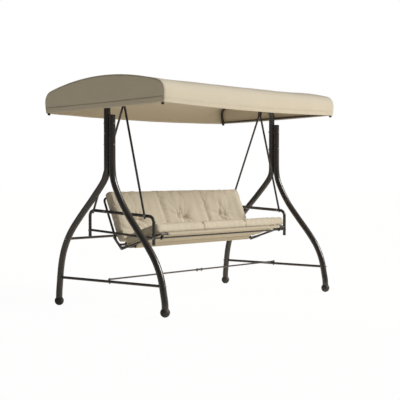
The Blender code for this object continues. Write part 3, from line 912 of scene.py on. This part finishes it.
@dataclass
class Cushion:
    """A boxed pad three seats long, sewn down between the seats, tied in its upper face and swollen."""

    name: str
    body: Body
    line: Line
    seed: float
    ties: tuple[tuple[float, float], ...] = ()
    pressed: float = 0.0            # how far along its upper face a neighbour holds it flat
    channel: float = 0.008
    channel_width: float = 0.009
    inset: tuple[float, float, float] = (0.002, 0.003, 0.003)
    edge: float = 0.020
    voxel: float = 0.006
    plain: tuple[float, float] = (0.05, 0.03)       # margins along the rim that stay free of folds
    tie_depth: float = 0.044
    tie_reach: float = 0.024
    tie_blunt: float = 1.1
    tie_squash: float = 0.8
    fold: float = 0.009
    fold_rate: tuple[float, float] = (15, 2.2)
    fan: float = 0.015
    fan_reach: float = 0.13
    fan_start: float = 0.03
    fan_rate: float = 2.6
    fan_turn: float = 5
    wobble: float = 0.0012          # how far the boxed sides wander
    swell: float = 0.013
    rim_depth: float = 0.012
    rim_passes: int = 14
    pressure: float = 4.0
    frames: int = 20
    room: tuple[float, float, float, float] = (0.0040, 0.004, 0.0035, 0.0002)   # past the CAD's sides
    cord_r: float = 0.0011
    cord_share: float = 0.35        # how far down the soft edge the seam cord lies
    thread_r: float = 0.0012
    thread_half: float = 0.008
    thread_tall: float = 0.003

    def build(self) -> bpy.types.Object:
        """Builds, swells and finishes the cushion."""
        place = self.line.matrix()
        back = place.inverted()
        nodes = [f"{self.name}_{where}" for where in PLACES]
        corners = [back @ vert.co for node in nodes for vert in frame["nodes"][node].data.vertices]
        low = Vector(min(corner[axis] for corner in corners) for axis in range(3))
        high = Vector(max(corner[axis] for corner in corners) for axis in range(3))
        self.centre, self.half = (low + high) / 2, (high - low) / 2
        self.pitch = 2 * self.half.x / len(nodes)
        carrier = self.blank()
        start = self.shaped(carrier)
        swollen = self.inflate(carrier, start)
        mesh = carrier.data
        for vert, before, after in zip(mesh.vertices, start, swollen):
            vert.co = self.settled(before, after)
        mesh.transform(Matrix.Translation(self.centre))
        form = Form()
        form.bm.from_mesh(mesh)
        bpy.data.objects.remove(carrier)
        even = {"factor": 0.5, "use_axis_x": True, "use_axis_y": True, "use_axis_z": True}
        bmesh.ops.smooth_vert(form.bm, verts=form.bm.verts, **even)
        rim_from = self.half.y - self.rim_depth
        rim = [vert for vert in form.bm.verts
               if abs(vert.co.y - self.centre.y) > rim_from and self.groove(vert.co.x) < 0.05]
        for _ in range(self.rim_passes):
            bmesh.ops.smooth_vert(form.bm, verts=rim, **even)
        form.moved(place)
        cushion = form.piece(f"padded_{self.name}", self.body, Slot.CUSHION, sharp=180)
        fine = cushion.modifiers.new("fine", "SUBSURF")
        fine.levels = fine.render_levels = 1
        self.seams(cushion, place)
        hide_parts(*nodes)
        return cushion

    def off_seat(self, x: float) -> float:
        """How far a point is from the middle of its own seat."""
        return x - min(max(round(x / self.pitch), -1), 1) * self.pitch

    def groove(self, x: float) -> float:
        """The share of a sewn channel's depth at a point."""
        return math.exp(-(((abs(x) - self.pitch / 2) / self.channel_width) ** 2))

    def blank(self) -> bpy.types.Object:
        """The cushion before it is filled: a box with soft edges, in even small faces."""
        part = bmesh.new()
        bmesh.ops.create_cube(part, size=2)
        size = [half - inset for half, inset in zip(self.half, self.inset)]
        bmesh.ops.scale(part, vec=size, verts=part.verts)
        bmesh.ops.bevel(part, geom=part.edges[:], offset=self.edge, offset_type="OFFSET", segments=3,
                        profile=0.5, affect="EDGES", material=-1)
        carrier = linked("blank", mesh_from("blank", part))
        even = carrier.modifiers.new("even", "REMESH")
        even.mode = "VOXEL"
        even.voxel_size = self.voxel
        fresh = evaluated(carrier)
        carrier.modifiers.clear()
        carrier.data = fresh
        return carrier

    def shaped(self, carrier: bpy.types.Object) -> list[Vector]:
        """Draws the ties in and lays the gathers that run along from them.

        Args:
            carrier: The blank.

        Returns:
            Each vertex's place.
        """
        placed = []
        for vert in carrier.data.vertices:
            x, s, n = vert.co
            inner = smooth_step((self.half.x - abs(x)) / self.plain[0])
            inner *= smooth_step((self.half.y - abs(s)) / self.plain[1])
            sewn = self.groove(x)
            if n > 0:
                dip, fan = self.gathers(x, s)
                rate_x, rate_s = self.fold_rate
                spot = Vector((x * rate_x + self.seed * 3, s * rate_s, self.seed + 5))
                upper = 0.35 + 0.65 * smooth_step((s + self.half.y) / self.half.y)
                fold = fan + self.fold * upper * noise.noise(spot)
                vert.co.z = n - min(dip, self.tie_depth) + inner * fold
                vert.co.z -= self.channel * sewn
            side = noise.noise(Vector((x * 5, s * 5 + self.seed, n * 6)))
            rim = abs(s) > self.half.y - self.edge
            vert.co.y -= math.copysign((self.channel * sewn - self.wobble * side) * rim, s)
            placed.append(vert.co.copy())
        return placed

    def gathers(self, x: float, s: float) -> tuple[float, float]:
        """How deep the ties draw a place in, and how far the folds that fan out from them lift it."""
        dip = fan = 0.0
        for tie_x, tie_s in self.ties:
            apart = math.hypot(x - tie_x, (s - tie_s) * self.tie_squash)
            dip += self.tie_depth * math.exp(-((apart / self.tie_reach) ** self.tie_blunt))
            turn = math.atan2(s - tie_s, x - tie_x)
            spread = math.exp(-((apart / self.fan_reach) ** 2)) * smooth_step(apart / self.fan_start)
            spoke = Vector((math.cos(turn) * self.fan_rate, math.sin(turn) * self.fan_rate,
                            self.seed + tie_x * 9))
            fan += self.fan * spread * noise.noise(spoke + Vector((0, 0, apart * self.fan_turn)))
        return dip, fan

    def inflate(self, carrier: bpy.types.Object, start: Sequence[Vector]) -> list[Vector]:
        """Swells the cushion by cloth simulation, with its ties and seams held.

        Args:
            carrier: The shaped blank.
            start: Where its vertices are.

        Returns:
            Where the filled cushion's vertices are.
        """
        held = carrier.vertex_groups.new(name="held")
        limit = [half - inset for half, inset in zip(self.half, self.inset)]
        for index, place in enumerate(start):
            near = [limit[axis] - abs(place[axis]) < self.edge * 0.55 for axis in range(3)]
            tied = place.z > 0 and any(math.hypot(place.x - x, place.y - s) < 0.007 for x, s in self.ties)
            if tied:
                held.add([index], 1.0, "REPLACE")
            elif near[2] and (near[0] or near[1]):
                held.add([index], 0.4, "REPLACE")
            elif self.groove(place.x) > 0.6 and (place.z > 0 or limit[1] - abs(place.y) < self.edge):
                held.add([index], 0.9, "REPLACE")
        cloth = carrier.modifiers.new("cloth", "CLOTH")
        settings = cloth.settings
        settings.quality = 5
        settings.mass = 0.3
        settings.tension_stiffness = settings.compression_stiffness = 15
        settings.shear_stiffness = 5
        settings.bending_stiffness = 0.04
        settings.use_pressure = True
        settings.uniform_pressure_force = self.pressure
        settings.effector_weights.gravity = 0
        settings.vertex_group_mass = "held"
        settings.shrink_min = -0.05
        cloth.collision_settings.use_collision = False
        cloth.point_cache.frame_start, cloth.point_cache.frame_end = 1, self.frames
        for number in range(1, self.frames + 1):
            bpy.context.scene.frame_set(number)
        mesh = evaluated(carrier)
        moved = [vert.co.copy() for vert in mesh.vertices]
        bpy.data.meshes.remove(mesh)
        carrier.modifiers.clear()
        bpy.context.scene.frame_set(1)
        return moved

    def settled(self, before: Vector, after: Vector) -> Vector:
        """Caps a vertex's swelling and lays the cushion against what it rests on.

        Args:
            before: Where it was.
            after: Where the filling pushed it.

        Returns:
            Where it stays.
        """
        step = after - before
        if step.length > 0:
            step *= self.swell * math.tanh(step.length / self.swell) / step.length
        place = before + step
        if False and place.z > 0:
            crown = math.cos(self.off_seat(place.x) / self.pitch * 2.8)
            crown *= math.cos(place.y / self.half.y * 1.4)
            place.z += self.swell * 0.7 * max(crown, 0)
        side, low, high, under = self.room
        place.x = min(max(place.x, -self.half.x - side), self.half.x + side)
        place.y = min(max(place.y, -self.half.y - low), self.half.y + high)
        place.z = max(place.z, -self.half.z - under)
        if self.pressed:
            free = smooth_step((place.y + self.half.y - self.pressed) / 0.05)
            place.z = min(place.z, self.half.z + 0.0012 + 0.02 * free)
        return place

    def rim(self) -> Iterable[tuple[Vector, Vector]]:
        """Places just inside the cushion's rim, in turn, and the way out from each."""
        pull, pitch = 0.035, 0.012
        wide, deep = self.half.x - pull, self.half.y - pull
        corners = [Vector((x * wide, y * deep)) for x, y in ((1, -1), (1, 1), (-1, 1), (-1, -1))]
        for index, corner in enumerate(corners):
            span = corners[(index + 1) % 4] - corner
            out = Vector((span.y, -span.x)).normalized()
            steps = round(span.length / pitch)
            for step in range(steps + 1):
                yield corner + span * (step / steps), out
            ahead = Vector((-out.y, out.x))
            for step in range(1, 5):
                angle = math.pi / 2 * step / 5
                yield corner + span, out * math.cos(angle) + ahead * math.sin(angle)

    def seams(self, cushion: bpy.types.Object, place: Matrix) -> None:
        """Lays a sewn seam cord round both faces, and the thread of each tie.

        Args:
            cushion: The finished cushion.
            place: The line's placement.
        """
        tree = ray_tree(cushion.data)
        turn = place.to_3x3()
        form = Form()
        for level in (-1, 1):
            loop = []
            height = level * (self.half.z - self.inset[2] - self.edge * self.cord_share)
            for inner, outward in self.rim():
                start = place @ (self.centre + Vector((*inner, height)))
                way = turn @ Vector((*outward, level * self.cord_share)).normalized()
                point, normal, _, _ = tree.ray_cast(start, way)
                if point is not None:
                    loop.append(point + normal * 0.0002)
            form.round_bar(loop, self.cord_r, closed=True, roundness=1)
        form.piece(f"seams_{self.name}", self.body, Slot.CUSHION)
        if not self.ties:
            return
        threads = Form()
        heading, up = turn @ Vector((1, 0, 0)), turn @ Vector((0, 0, 1))
        for tie in self.ties:
            above = place @ (self.centre + Vector((*tie, 0.09)))
            point = tree.ray_cast(above, -up)[0]
            path = []
            for step in range(9):
                angle = math.pi * step / 8
                lift = up * (self.thread_tall * math.sin(angle) - 0.0005)
                path.append(point + heading * self.thread_half * math.cos(angle) + lift)
            threads.round_bar(path, self.thread_r, roundness=1)
        threads.piece(f"ties_{self.name}", self.body, Slot.CUSHION, STITCH)


@dataclass
class Seating:
    """The seat pan and backrest: slings, cushions and the hinge bolts."""

    tie_pair: tuple[float, float] = (-0.085, -0.020)
    tie_up: float = -0.036
    seat_bolts: tuple[tuple[float, float], ...] = ((0.018, 0.4606), (-0.015, 0.4702))
    back_bolts: tuple[tuple[float, float], ...] = ((0.1140, 0.4957), (0.1369, 0.5187))
    rivet: tuple[tuple[float, float], ...] = ((0, 0.0026), (0.0030, 0.0024), (0.0052, 0.0012),
                                              (0.0055, -0.0004), (0, -0.0004))

    def build(self) -> None:
        """Builds both halves of the seating."""
        Sling("seat_sling_cloth", Body.SEAT, SEAT_LINE, "seat_sling").build()
        Sling("back_sling_cloth", Body.BACK, BACK_LINE, "back_sling").build()
        low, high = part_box("back_cushion_middle")
        pitch = high.x - low.x + 0.003
        ties = tuple((seat * pitch + off, self.tie_up) for seat in (-1, 0, 1) for off in self.tie_pair)
        Cushion("seat_cushion", Body.SEAT, SEAT_LINE, 3.1, fold=0.003, channel=0.011).build()
        Cushion("back_cushion", Body.BACK, BACK_LINE, 11.4, ties, pressed=0.085, channel=0.007).build()
        for side, sign in SIDES:
            for name, body, node, places in (("seat", Body.SEAT, "hinge_plate_seat", self.seat_bolts),
                                             ("back", Body.BACK, "hinge_plate_back", self.back_bolts)):
                low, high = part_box(f"{node}_{side}")
                face = sign * max(abs(low.x), abs(high.x))
                form = Form()
                for y, z in places:
                    form.turned(self.rivet, facing((face, y, z), (sign, 0, 0)), 18)
                form.piece(f"hinge_rivets_{name}_{side}", body, Slot.FASTENER)


# ---------------------------------------------------------------- canopy
@dataclass
class Canopy:
    """Cloth over two arches: a long panel, two end panels, hems, piping and the arches' caps."""

    length: float = 2.184
    depth: float = 1.219
    top: float = 1.731
    crown_r: float = 2.10
    corner_r: float = 0.085
    rim_z: float = 1.4944
    tuck: float = 0.011
    hem_sag: float = 0.016
    crown_sag: float = 0.005
    cloth: float = 0.0018
    hem: float = 0.036
    end_hem: float = 0.045
    tilt_z: float = 1.505
    tilt: float = math.radians(1.7)
    arch_x: float = 1.0785
    arch_r: float = 0.0095
    arch_foot: float = 1.488
    belly: float = 0.0015           # how far an end panel stands out at its middle
    ripple: float = 0.0006
    end_bow: float = 0.004          # how far its lower edge hangs down at the middle
    end_inset: float = 0.0018
    piping_r: float = 0.0020
    cap: tuple[tuple[float, float], ...] = ((0, 0.010), (0.0065, 0.0095), (0.0104, 0.007), (0.0112, 0.003),
                                            (0.0112, -0.008), (0, -0.008))
    rail_bolt: float = 0.005
    rail_bolt_in: float = 0.045     # from an arch's foot to the bolt, along the rail

    def __post_init__(self) -> None:
        """Works out the end outline and the placement of the tilted canopy."""
        axis = Matrix.Translation((0, 0, self.tilt_z))
        self.place = axis @ Matrix.Rotation(-self.tilt, 4, "X") @ axis.inverted()
        self.line = self.outline()
        self.runs = [0.0]
        for before, after in zip(self.line, self.line[1:]):
            self.runs.append(self.runs[-1] + (after - before).length)

    def outline(self) -> list[Vector]:
        """The end outline, as (Y, Z) points from the front rim over the crown to the rear rim."""
        half = self.depth / 2
        crown_z = self.top - self.crown_r
        corner_y = half - self.corner_r
        corner_z = crown_z + math.sqrt((self.crown_r - self.corner_r) ** 2 - corner_y ** 2)
        turn = math.acos(corner_y / (self.crown_r - self.corner_r))
        rear = []
        for step in range(14):
            drop = 1 - step / 14
            rear.append(Vector((half - self.tuck * drop ** 2, corner_z - drop * (corner_z - self.rim_z))))
        for step in range(17):
            angle = turn * step / 16
            rear.append(Vector((corner_y + self.corner_r * math.cos(angle),
                                corner_z + self.corner_r * math.sin(angle))))
        for step in range(1, 31):
            angle = turn + (math.pi / 2 - turn) * step / 30
            rear.append(Vector((self.crown_r * math.cos(angle), crown_z + self.crown_r * math.sin(angle))))
        return [Vector((-point.x, point.y)) for point in rear[:-1]] + rear[::-1]

    def at(self, run: float) -> tuple[Vector, Vector]:
        """A point of the outline by its distance from the front rim, and the way out of the cloth there."""
        for index in range(len(self.runs) - 1):
            if run <= self.runs[index + 1] or index == len(self.runs) - 2:
                span = self.runs[index + 1] - self.runs[index]
                step = self.line[index + 1] - self.line[index]
                out = Vector((-step.y, step.x)).normalized()
                return self.line[index] + step * ((run - self.runs[index]) / span), out
        raise ValueError(run)

    def skin(self, across: float, run: float, lift: float = 0.0) -> Vector:
        """A point of the long panel.

        Args:
            across: Share of the length from the left end.
            run: Distance along the cloth from the front rim.
            lift: Height above the cloth.

        Returns:
            The point, before the canopy's tilt.
        """
        point, out = self.at(run)
        middle = hump(across)
        hem = smooth_step((self.top - 0.06 - point.y) / (self.top - 0.06 - self.rim_z))
        sag = self.crown_sag + (self.hem_sag - self.crown_sag) * hem
        x = (across * 2 - 1) * (self.length / 2 - 0.0012)
        wave = noise.noise(Vector((x * 5.5, point.x * 1.5, 3.7))) * 0.0032
        wave += noise.noise(Vector((x * 15, point.x * 3, 8.1))) * 0.0012 * hem
        over = abs(point.x) / (self.depth / 2)
        dip = 0.0035 * math.sin(math.pi * min(over / 0.86, 1)) ** 2 * (1 - hem)
        edge = smooth_step((1 - abs(2 * across - 1)) / 0.06)
        point = point + out * (lift + wave * edge - dip * edge)
        return Vector((x, point.x, point.y - sag * middle))

    def build(self) -> None:
        """Builds the cloth and the caps."""
        total = self.runs[-1]
        panel = self.sheet("canopy_cloth", 110, 96, lambda u, v: self.skin(u, v * total))
        hems, seams = [], Form()
        for name, start, end in (("front", 0.0, self.hem), ("rear", total, total - self.hem)):
            hems.append(self.sheet(f"canopy_hem_{name}", 110, 6, lambda u, v, a=start, b=end: self.skin(
                u, a + (b - a) * v, self.cloth + 0.0002)))
            for inset in (0.004, 0.008):
                run = end - math.copysign(inset, end - start)
                stitch_row(seams, [self.skin(step / 60, run, self.cloth + 0.0012) for step in range(61)])
        sewn = seams.moved(self.place).piece("canopy_hem_stitches", Body.CANOPY, Slot.CANOPY, STITCH)
        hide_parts("canopy_top_panel")
        self.length
        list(hems)
        for side, sign in SIDES:
            self.end(side, sign)
        self.caps()

    def sheet(self, name: str, columns: int, rows: int, shape: Callable[[float, float], Vector],
              share: float = 1.0) -> bpy.types.Object:
        """Builds one sheet of the canopy.

        Args:
            name: The piece's name.
            columns: Its faces one way.
            rows: Its faces the other way.
            shape: Its surface, before the canopy's tilt.
            share: Its thickness, as a share of the cloth's.

        Returns:
            The piece.
        """
        sheet = Form().sheet(columns, rows, shape).moved(self.place)
        sheet = sheet.piece(name, Body.CANOPY, Slot.CANOPY, sharp=180)
        thickened(sheet, self.cloth * share)
        return sheet

    def end(self, side: str, sign: int) -> None:
        """One end panel, with its hem, its stitches and the piping over the arch."""
        x = sign * (self.length / 2 - self.end_inset)
        total = self.runs[-1]
        front, rear = self.line[0], self.line[-1]
        tall = self.top - self.rim_z

        def belly(share: float, rise: float) -> float:
            return self.belly * math.sin(math.pi * min(max(rise, 0), 1)) * hump(share)

        def shape(along: float, up: float) -> Vector:
            top = self.at(along * total)[0]
            share = smooth_step(along) * 0.35 + along * 0.65
            foot = front + (rear - front) * share
            point = foot + (top - foot) * up
            ripple = noise.noise(Vector((point.x * 7, point.y * 3, 2.2 * sign))) * self.ripple * (1 - up)
            out = belly(share, (point.y - self.rim_z) / tall) + ripple
            return Vector((x + sign * out, point.x, point.y - self.end_bow * hump(share) * (1 - up)))

        def hem_shape(along: float, up: float) -> Vector:
            share = 0.004 + 0.992 * along
            height = up * self.end_hem
            lean = self.tuck * (1 - (1 - height / 0.13) ** 2) * (2 * share - 1)
            out = self.cloth * 0.78 + belly(share, height / tall)
            return Vector((x + sign * out, front.x + (rear.x - front.x) * share + lean * 0.6,
                           self.rim_z + height - self.end_bow * hump(share)))

        panel = self.sheet(f"canopy_end_cloth_{side}", 80, 16, shape)
        hem = self.sheet(f"canopy_end_hem_{side}", 60, 4, hem_shape, share=0.5)
        seams = Form()
        proud = Vector((sign * 0.001, 0, 0))
        for inset in (0.06, 0.16):
            stitch_row(seams, [hem_shape(step / 40, 1 - inset) + proud for step in range(41)])
        sewn = seams.moved(self.place)
        sewn = sewn.piece(f"canopy_end_stitches_{side}", Body.CANOPY, Slot.CANOPY, STITCH)
        edge = [(x, *point) for point in self.line[1:-1]]
        cord = Form().round_bar(edge, self.piping_r, roundness=3).moved(self.place)
        cord = cord.piece(f"canopy_piping_{side}", Body.CANOPY, Slot.CANOPY, PIPING)
        ring = zip(self.line, self.line[1:] + self.line[:1])
        area = abs(sum(a.x * b.y - b.x * a.y for a, b in ring)) / 2
        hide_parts(f"canopy_end_panel_{side}")

    def caps(self) -> None:
        """Plastic caps on the arches' feet, and the bolts of the base rails."""
        inset = 0.003 + self.arch_r + 0.0006
        half = self.depth / 2 - inset - self.tuck
        for side, sign in SIDES:
            form, bolts = Form(), Form()
            for way in (-1, 1):
                point = self.place @ Vector((sign * self.arch_x, way * half, self.arch_foot))
                form.turned(self.cap, facing(point, (0, 0, -1)), 24)
                bolt = self.place @ Vector((sign * (self.arch_x - self.arch_r),
                                            way * (half - self.rail_bolt_in), self.tilt_z))
                fasten(bolts, Fastener.DOME, bolt, (-sign, 0, 0), self.rail_bolt)
            form.piece(f"arch_caps_{side}", Body.CANOPY, Slot.FOOT)
            bolts.piece(f"canopy_rail_bolts_{side}", Body.CANOPY, Slot.FASTENER)


# ---------------------------------------------------------------- studio
@dataclass
class Studio:
    """A pale floor, soft light and the camera."""

    target: tuple[float, float, float] = (0.0081, -0.0225, 0.7997)
    distance: float = 8.418
    azimuth: float = -50.34
    elevation: float = 1.42
    lens: float = 93.08
    sun: float = 2.55
    sun_size: float = 24
    sun_from: tuple[float, float, float] = (0.50, -0.72, 0.56)
    sky: float = 0.20
    lean: float = 0.5               # how much darker the sky is on the left, and lighter on the right

    def build(self) -> None:
        """Builds the stage and the camera."""
        self.floor()
        self.lights()
        turn, rise = math.radians(self.azimuth), math.radians(self.elevation)
        back = Vector((math.sin(turn) * math.cos(rise), -math.cos(turn) * math.cos(rise), math.sin(rise)))
        data = bpy.data.cameras.new("camera")
        data.lens = self.lens
        data.sensor_width = 36.0
        data.clip_end = 200.0
        camera = linked("camera", data)
        camera.location = Vector(self.target) + back * self.distance
        camera.rotation_euler = (-back).to_track_quat("-Z", "Y").to_euler()
        bpy.context.scene.camera = camera
        bpy.context.scene.view_settings.view_transform = "Standard"

    def floor(self) -> None:
        """A wide pale floor."""
        part = bmesh.new()
        bmesh.ops.create_circle(part, cap_ends=True, segments=64, radius=60)
        mesh = mesh_from("floor", part)
        graph = Graph("pale_floor")
        right = graph.value("ShaderNodeSeparateXYZ", {}, {0: graph.coordinates()}, "X") + 1.5
        glow = graph.tint(right * 0.8, (0, 0, 0), (0.36, 0.335, 0.29))
        graph.surface({"Base Color": (0.94, 0.89, 0.80, 1), "Roughness": 0.9, "Specular IOR Level": 0.1,
                       "Emission Color": glow, "Emission Strength": 1.0})
        white = graph.node("ShaderNodeEmission", {}, {"Color": (1, 1, 1, 1), "Strength": 1.0})
        seen = graph.value("ShaderNodeLightPath", output="Is Camera Ray") * 0.97
        shaders = {0: seen, 1: graph.shader.outputs[0], 2: white.outputs[0]}
        both = graph.node("ShaderNodeMixShader", {}, shaders)
        output = next(node for node in graph.tree.nodes if node.type == "OUTPUT_MATERIAL")
        graph.feed(output.inputs["Surface"], both.outputs[0])
        mesh.materials.append(graph.material)
        floor = linked("floor", mesh)

    def lights(self) -> None:
        """One broad sun from the front right, and a white sky that is darker on the left."""
        data = bpy.data.lights.new("key", "SUN")
        data.energy = self.sun
        data.angle = math.radians(self.sun_size)
        key = linked("key", data)
        key.rotation_euler = Vector(self.sun_from).to_track_quat("Z", "Y").to_euler()
        world = bpy.data.worlds.new("studio")
        world.use_nodes = True
        bpy.context.scene.world = world
        tree = world.node_tree
        shade = tree.nodes["Background"]
        path = tree.nodes.new("ShaderNodeLightPath")
        place = tree.nodes.new("ShaderNodeTexCoord")
        parts = tree.nodes.new("ShaderNodeSeparateXYZ")
        across = tree.nodes.new("ShaderNodeMapRange")
        across.inputs["From Min"].default_value = -1.0
        across.inputs["To Min"].default_value = self.sky * (1 - self.lean)
        across.inputs["To Max"].default_value = self.sky * (1 + self.lean)
        level = tree.nodes.new("ShaderNodeMapRange")
        level.inputs["To Max"].default_value = 1.0
        shade.inputs["Color"].default_value = (1, 1, 1, 1)
        links = ((place.outputs["Generated"], parts.inputs[0]),
                 (parts.outputs["X"], across.inputs["Value"]),
                 (across.outputs[0], level.inputs["To Min"]),
                 (path.outputs["Is Camera Ray"], level.inputs["Value"]),
                 (level.outputs[0], shade.inputs["Strength"]))
        for output, target in links:
            tree.links.new(output, target)


def main() -> None:
    """Builds the whole bench."""
    logging.basicConfig(level=logging.INFO, format="%(message)s")
    dress_packed_nodes()
    Studio().build()
    Stand().build()
    SwingCarrier().build()
    Seating().build()
    Canopy().build()


if __name__ == "__main__":
    main()
